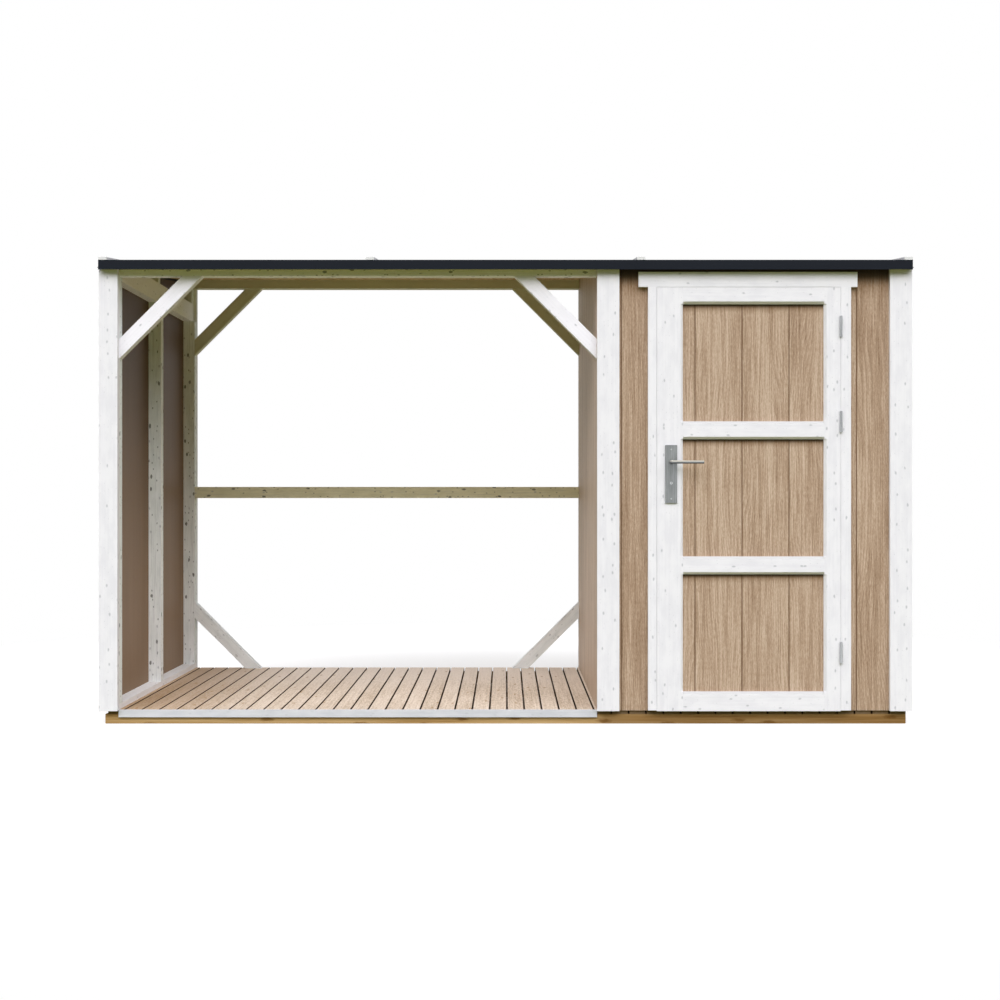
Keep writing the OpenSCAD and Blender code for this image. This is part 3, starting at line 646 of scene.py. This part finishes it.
def brushed_steel(name, runs, dull, bright, under=None, upper=None):
    """Steel brushed one way; a lever gets painted shade on its underside and a painted highlight on top."""
    finish = BoardFinish(name, runs)
    brush = finish.noise(finish.place(330.0, 5.0), 1.0, 3.0, 0.7)
    cloud = finish.noise(finish.place(40.0, 14.0), 1.0, 2.0)
    colour = finish.mix(finish.step(brush * 0.75 + cloud * 0.25, 0.3, 0.7), dull, bright)
    if under:
        # Painted shade on the lever's underside and a painted highlight on its top.
        colour = finish.mix(finish.step(finish.normal[2], 0.1, -0.8), colour, under)
        colour = finish.mix(finish.step(finish.normal[2], 0.0, 0.6), colour, upper)
    return finish.skin(colour, 0.32 + 0.2 * brush, brush, 0.0002, sheen=0.5, Metallic=1.0)


metals = {
    "black": coated_steel(),
    "felt": slate_felt(),
    "plate": brushed_steel("plate_steel", "Z", *STEEL),
    "lever": brushed_steel("lever_steel", "X", *STEEL, LEVER_PAINTED_SHADE, LEVER_PAINTED_HIGHLIGHT),
    "hinge": brushed_steel("hinge_steel", "Z", *HINGE_STEEL),
    "screw": brushed_steel("screw_steel", "X", *SCREW_STEEL),
}
print("metals and felt:", sorted(metals))

# %% [markdown]
# Each solid now takes its finish. The solids stay as they are; only the material in their
# slot changes.

# %% Dress the solids
wearing = {
    whites["trim"]: (
        "front_trims", "side_trims", "back_trims", "door_jambs", "door_stops", "door_stiles",
        "left_post_facings",
    ),
    whites["stud"]: ("left_studs", "gable_studs"),
    whites["head"]: ("door_head", "door_head_trim"),
    whites["rail"]: ("door_rails",),
    whites["edge"]: ("floor_edge_board",),
    whites["front_beam"]: ("front_beam",),
    whites["back_beam"]: ("back_beam", "back_rail"),
    whites["plate"]: ("wall_bottom_plates", "wall_top_plates"),
    whites["front_brace"]: ("front_braces",),
    whites["back_brace"]: ("back_braces",),
    timbers["sill_x"]: ("long_sills",),
    timbers["bearer"]: ("floor_bearers",),
    timbers["sill_y"]: ("end_sills",),
    timbers["slat"]: ("log_floor", "shed_floor"),
    timbers["frame_x"]: ("cross_bottom_plates", "door_ledges"),
    timbers["frame_y"]: ("roof_panels",),
    timbers["frame_z"]: ("partition_studs", "right_studs", "back_studs"),
    timbers["batten"]: ("roof_battens",),
    metals["black"]: ("drip_edges", "verge_trims"),
    metals["felt"]: ("roof_felt",),
    metals["hinge"]: ("hinge_frame_halves", "hinge_door_halves"),
    metals["plate"]: ("handle_plates",),
    metals["lever"]: ("lever_handle",),
}
wearing |= {finish: (name,) for name, finish in tans.items()}

for finish, names in wearing.items():
    for name in names:
        nodes[name].data.materials.clear()
        nodes[name].data.materials.append(finish)
bare = sorted(set(nodes) - {name for names in wearing.values() for name in names})
print("solids still without a finish:", bare)

# %% [markdown]
# Fixings come last. Each slat is screwed down at both sills and both bearers, the battens are
# screwed through the felt, and each handle plate has two screws. They are too small and too
# many for solids of their own, so each group is one mesh of short cones, half sunk into the
# board. A cone, not a flat disc, gives every head a rim that catches light.

# %% Screws
SCREW_INSET = 0.018
SLAT_SCREW = (0.0034, 0.0004)
WALL_CLEAR = 0.01
BAY_SPAN = (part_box("left_studs")[1].x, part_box("partition_siding")[0].x)


def add_piece(name, shape, finish, body):
    """Turns a shape into an object that rides on a body of the frame."""
    mesh = bpy.data.meshes.new(name)
    shape.to_mesh(mesh)
    shape.free()
    mesh.materials.append(finish)
    piece = bpy.data.objects.new(name, mesh)
    bpy.context.collection.objects.link(piece)
    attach(piece, body)
    print(name, "has", len(mesh.polygons), "faces")


def add_head(shape, place, outward, radius, rise):
    """One screw head, half sunk, that looks outward."""
    turn = Vector(outward).to_track_quat("Z", "Y").to_matrix().to_4x4()
    cone = {"segments": 14, "radius1": radius, "radius2": radius * 0.8, "depth": 2 * rise, "cap_ends": True}
    bmesh.ops.create_cone(shape, matrix=Matrix.Translation(place) @ turn, **cone)


sill_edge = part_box("long_sills")[1].y
bearer_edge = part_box("floor_bearers")[1].y
sill_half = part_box("end_sills")[1].y
screw_row = (sill_edge + sill_half) / 2
bearer_row = bearer_edge - (sill_edge - sill_half) / 2
slat_screws = bmesh.new()
slat_middle = floor_high.x - SLAT_WIDTH / 2
while slat_middle > floor_low.x:
    for x in (slat_middle - SCREW_INSET, slat_middle + SCREW_INSET):
        for y in (-screw_row, -bearer_row, bearer_row, screw_row):
            if BAY_SPAN[0] + WALL_CLEAR < x < BAY_SPAN[1] - WALL_CLEAR:
                add_head(slat_screws, (x, y, floor_high.z), (0, 0, 1), *SLAT_SCREW)
    slat_middle -= SLAT_PITCH
add_piece("slat_screws", slat_screws, metals["screw"], "building")

# %% [markdown]
# The roof slopes, so a batten's screws sit on a slope too. The slope needn't be typed in: the
# felt's box gives its rise over its depth, and the battens' box gives where their tops end.

# %% Batten screws
BATTEN_WIDTH = 0.036
BATTEN_SCREW = (0.0042, 0.0005)
SCREWS_IN_ROW = 6
END_CLEAR = 0.08
FELT_LIFT = 0.001
batten_low, batten_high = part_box("roof_battens")
felt_low, felt_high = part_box("roof_felt")
slope = (felt_high.z - felt_low.z - FELT_LIFT) / (felt_high.y - felt_low.y)
batten_sides = [corner.co.x for corner in nodes["roof_battens"].data.vertices]
batten_lefts = sorted({round(x, 4) for x in batten_sides})[::2]
screw_run = batten_high.y - batten_low.y - 2 * END_CLEAR
batten_screws = bmesh.new()
for left_side in batten_lefts:
    for k in range(SCREWS_IN_ROW):
        y = batten_low.y + END_CLEAR + k * screw_run / (SCREWS_IN_ROW - 1)
        z = batten_high.z - slope * (batten_high.y - y)
        add_head(batten_screws, (left_side + BATTEN_WIDTH / 2, y, z), (0, -slope, 1), *BATTEN_SCREW)
add_piece("batten_screws", batten_screws, metals["screw"], "building")

# %% [markdown]
# On the door, the handle plates show two screws each and the lock's end shows its round core
# with the slit for the key. These ride on the door, so they swing with it.

# %% Handle screws and lock core
LOCK_STANDS = 0.002
LOCK_HEIGHT = 1.0385
LOCK_CORE = (0.0068, 0.0005)
LOCK_SLIT = (0.0014, 0.0004, 0.008)
PLATE_SCREW = (0.0042, 0.0008)
PLATE_SCREW_INSET = 0.019
plate_low, plate_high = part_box("handle_plates")
plate_middle = (plate_low.x + plate_high.x) / 2
handle_screws = bmesh.new()
lock_slits = bmesh.new()
for face, out in ((plate_low.y, -1), (plate_high.y, 1)):
    for z in (plate_low.z + PLATE_SCREW_INSET, plate_high.z - PLATE_SCREW_INSET):
        add_head(handle_screws, (plate_middle, face - out * LOCK_STANDS, z), (0, out, 0), *PLATE_SCREW)
    add_head(handle_screws, (plate_middle, face, LOCK_HEIGHT), (0, out, 0), *LOCK_CORE)
    slit_place = Matrix.Translation((plate_middle, face + out * LOCK_SLIT[1], LOCK_HEIGHT))
    bmesh.ops.create_cube(lock_slits, size=1.0, matrix=slit_place @ Matrix.Diagonal((*LOCK_SLIT, 1.0)))
add_piece("handle_screws", handle_screws, metals["screw"], "door")
add_piece("lock_slits", lock_slits, metals["black"], "door")

# %% [markdown]
# A soft white strip closes most of the gap round the door, fixed to the jambs and the head so
# that the leaf swings clear of it. It is what makes the gap read as a faint line.

# %% Draught strips
STRIP_THICK = 0.0007
STRIP_SET_BACK = 0.0012
STRIP_DEEP = 0.006
opening_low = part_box("door_stops")[0]
opening_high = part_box("door_stops")[1]
strip_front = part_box("door_stiles")[0].y + STRIP_SET_BACK
strips = bmesh.new()
spans = (
    ((opening_low.x, opening_low.z), (opening_low.x + STRIP_THICK, opening_high.z)),
    ((opening_high.x - STRIP_THICK, opening_low.z), (opening_high.x, opening_high.z)),
    ((opening_low.x, opening_high.z - STRIP_THICK), (opening_high.x, opening_high.z)),
)
for (x0, z0), (x1, z1) in spans:
    middle = Vector((x0 + x1, 2 * strip_front + STRIP_DEEP, z0 + z1)) / 2
    size = Matrix.Diagonal((x1 - x0, STRIP_DEEP, z1 - z0, 1.0))
    bmesh.ops.create_cube(strips, size=1.0, matrix=Matrix.Translation(middle) @ size)
add_piece("draught_strips", strips, whites["trim"], "building")
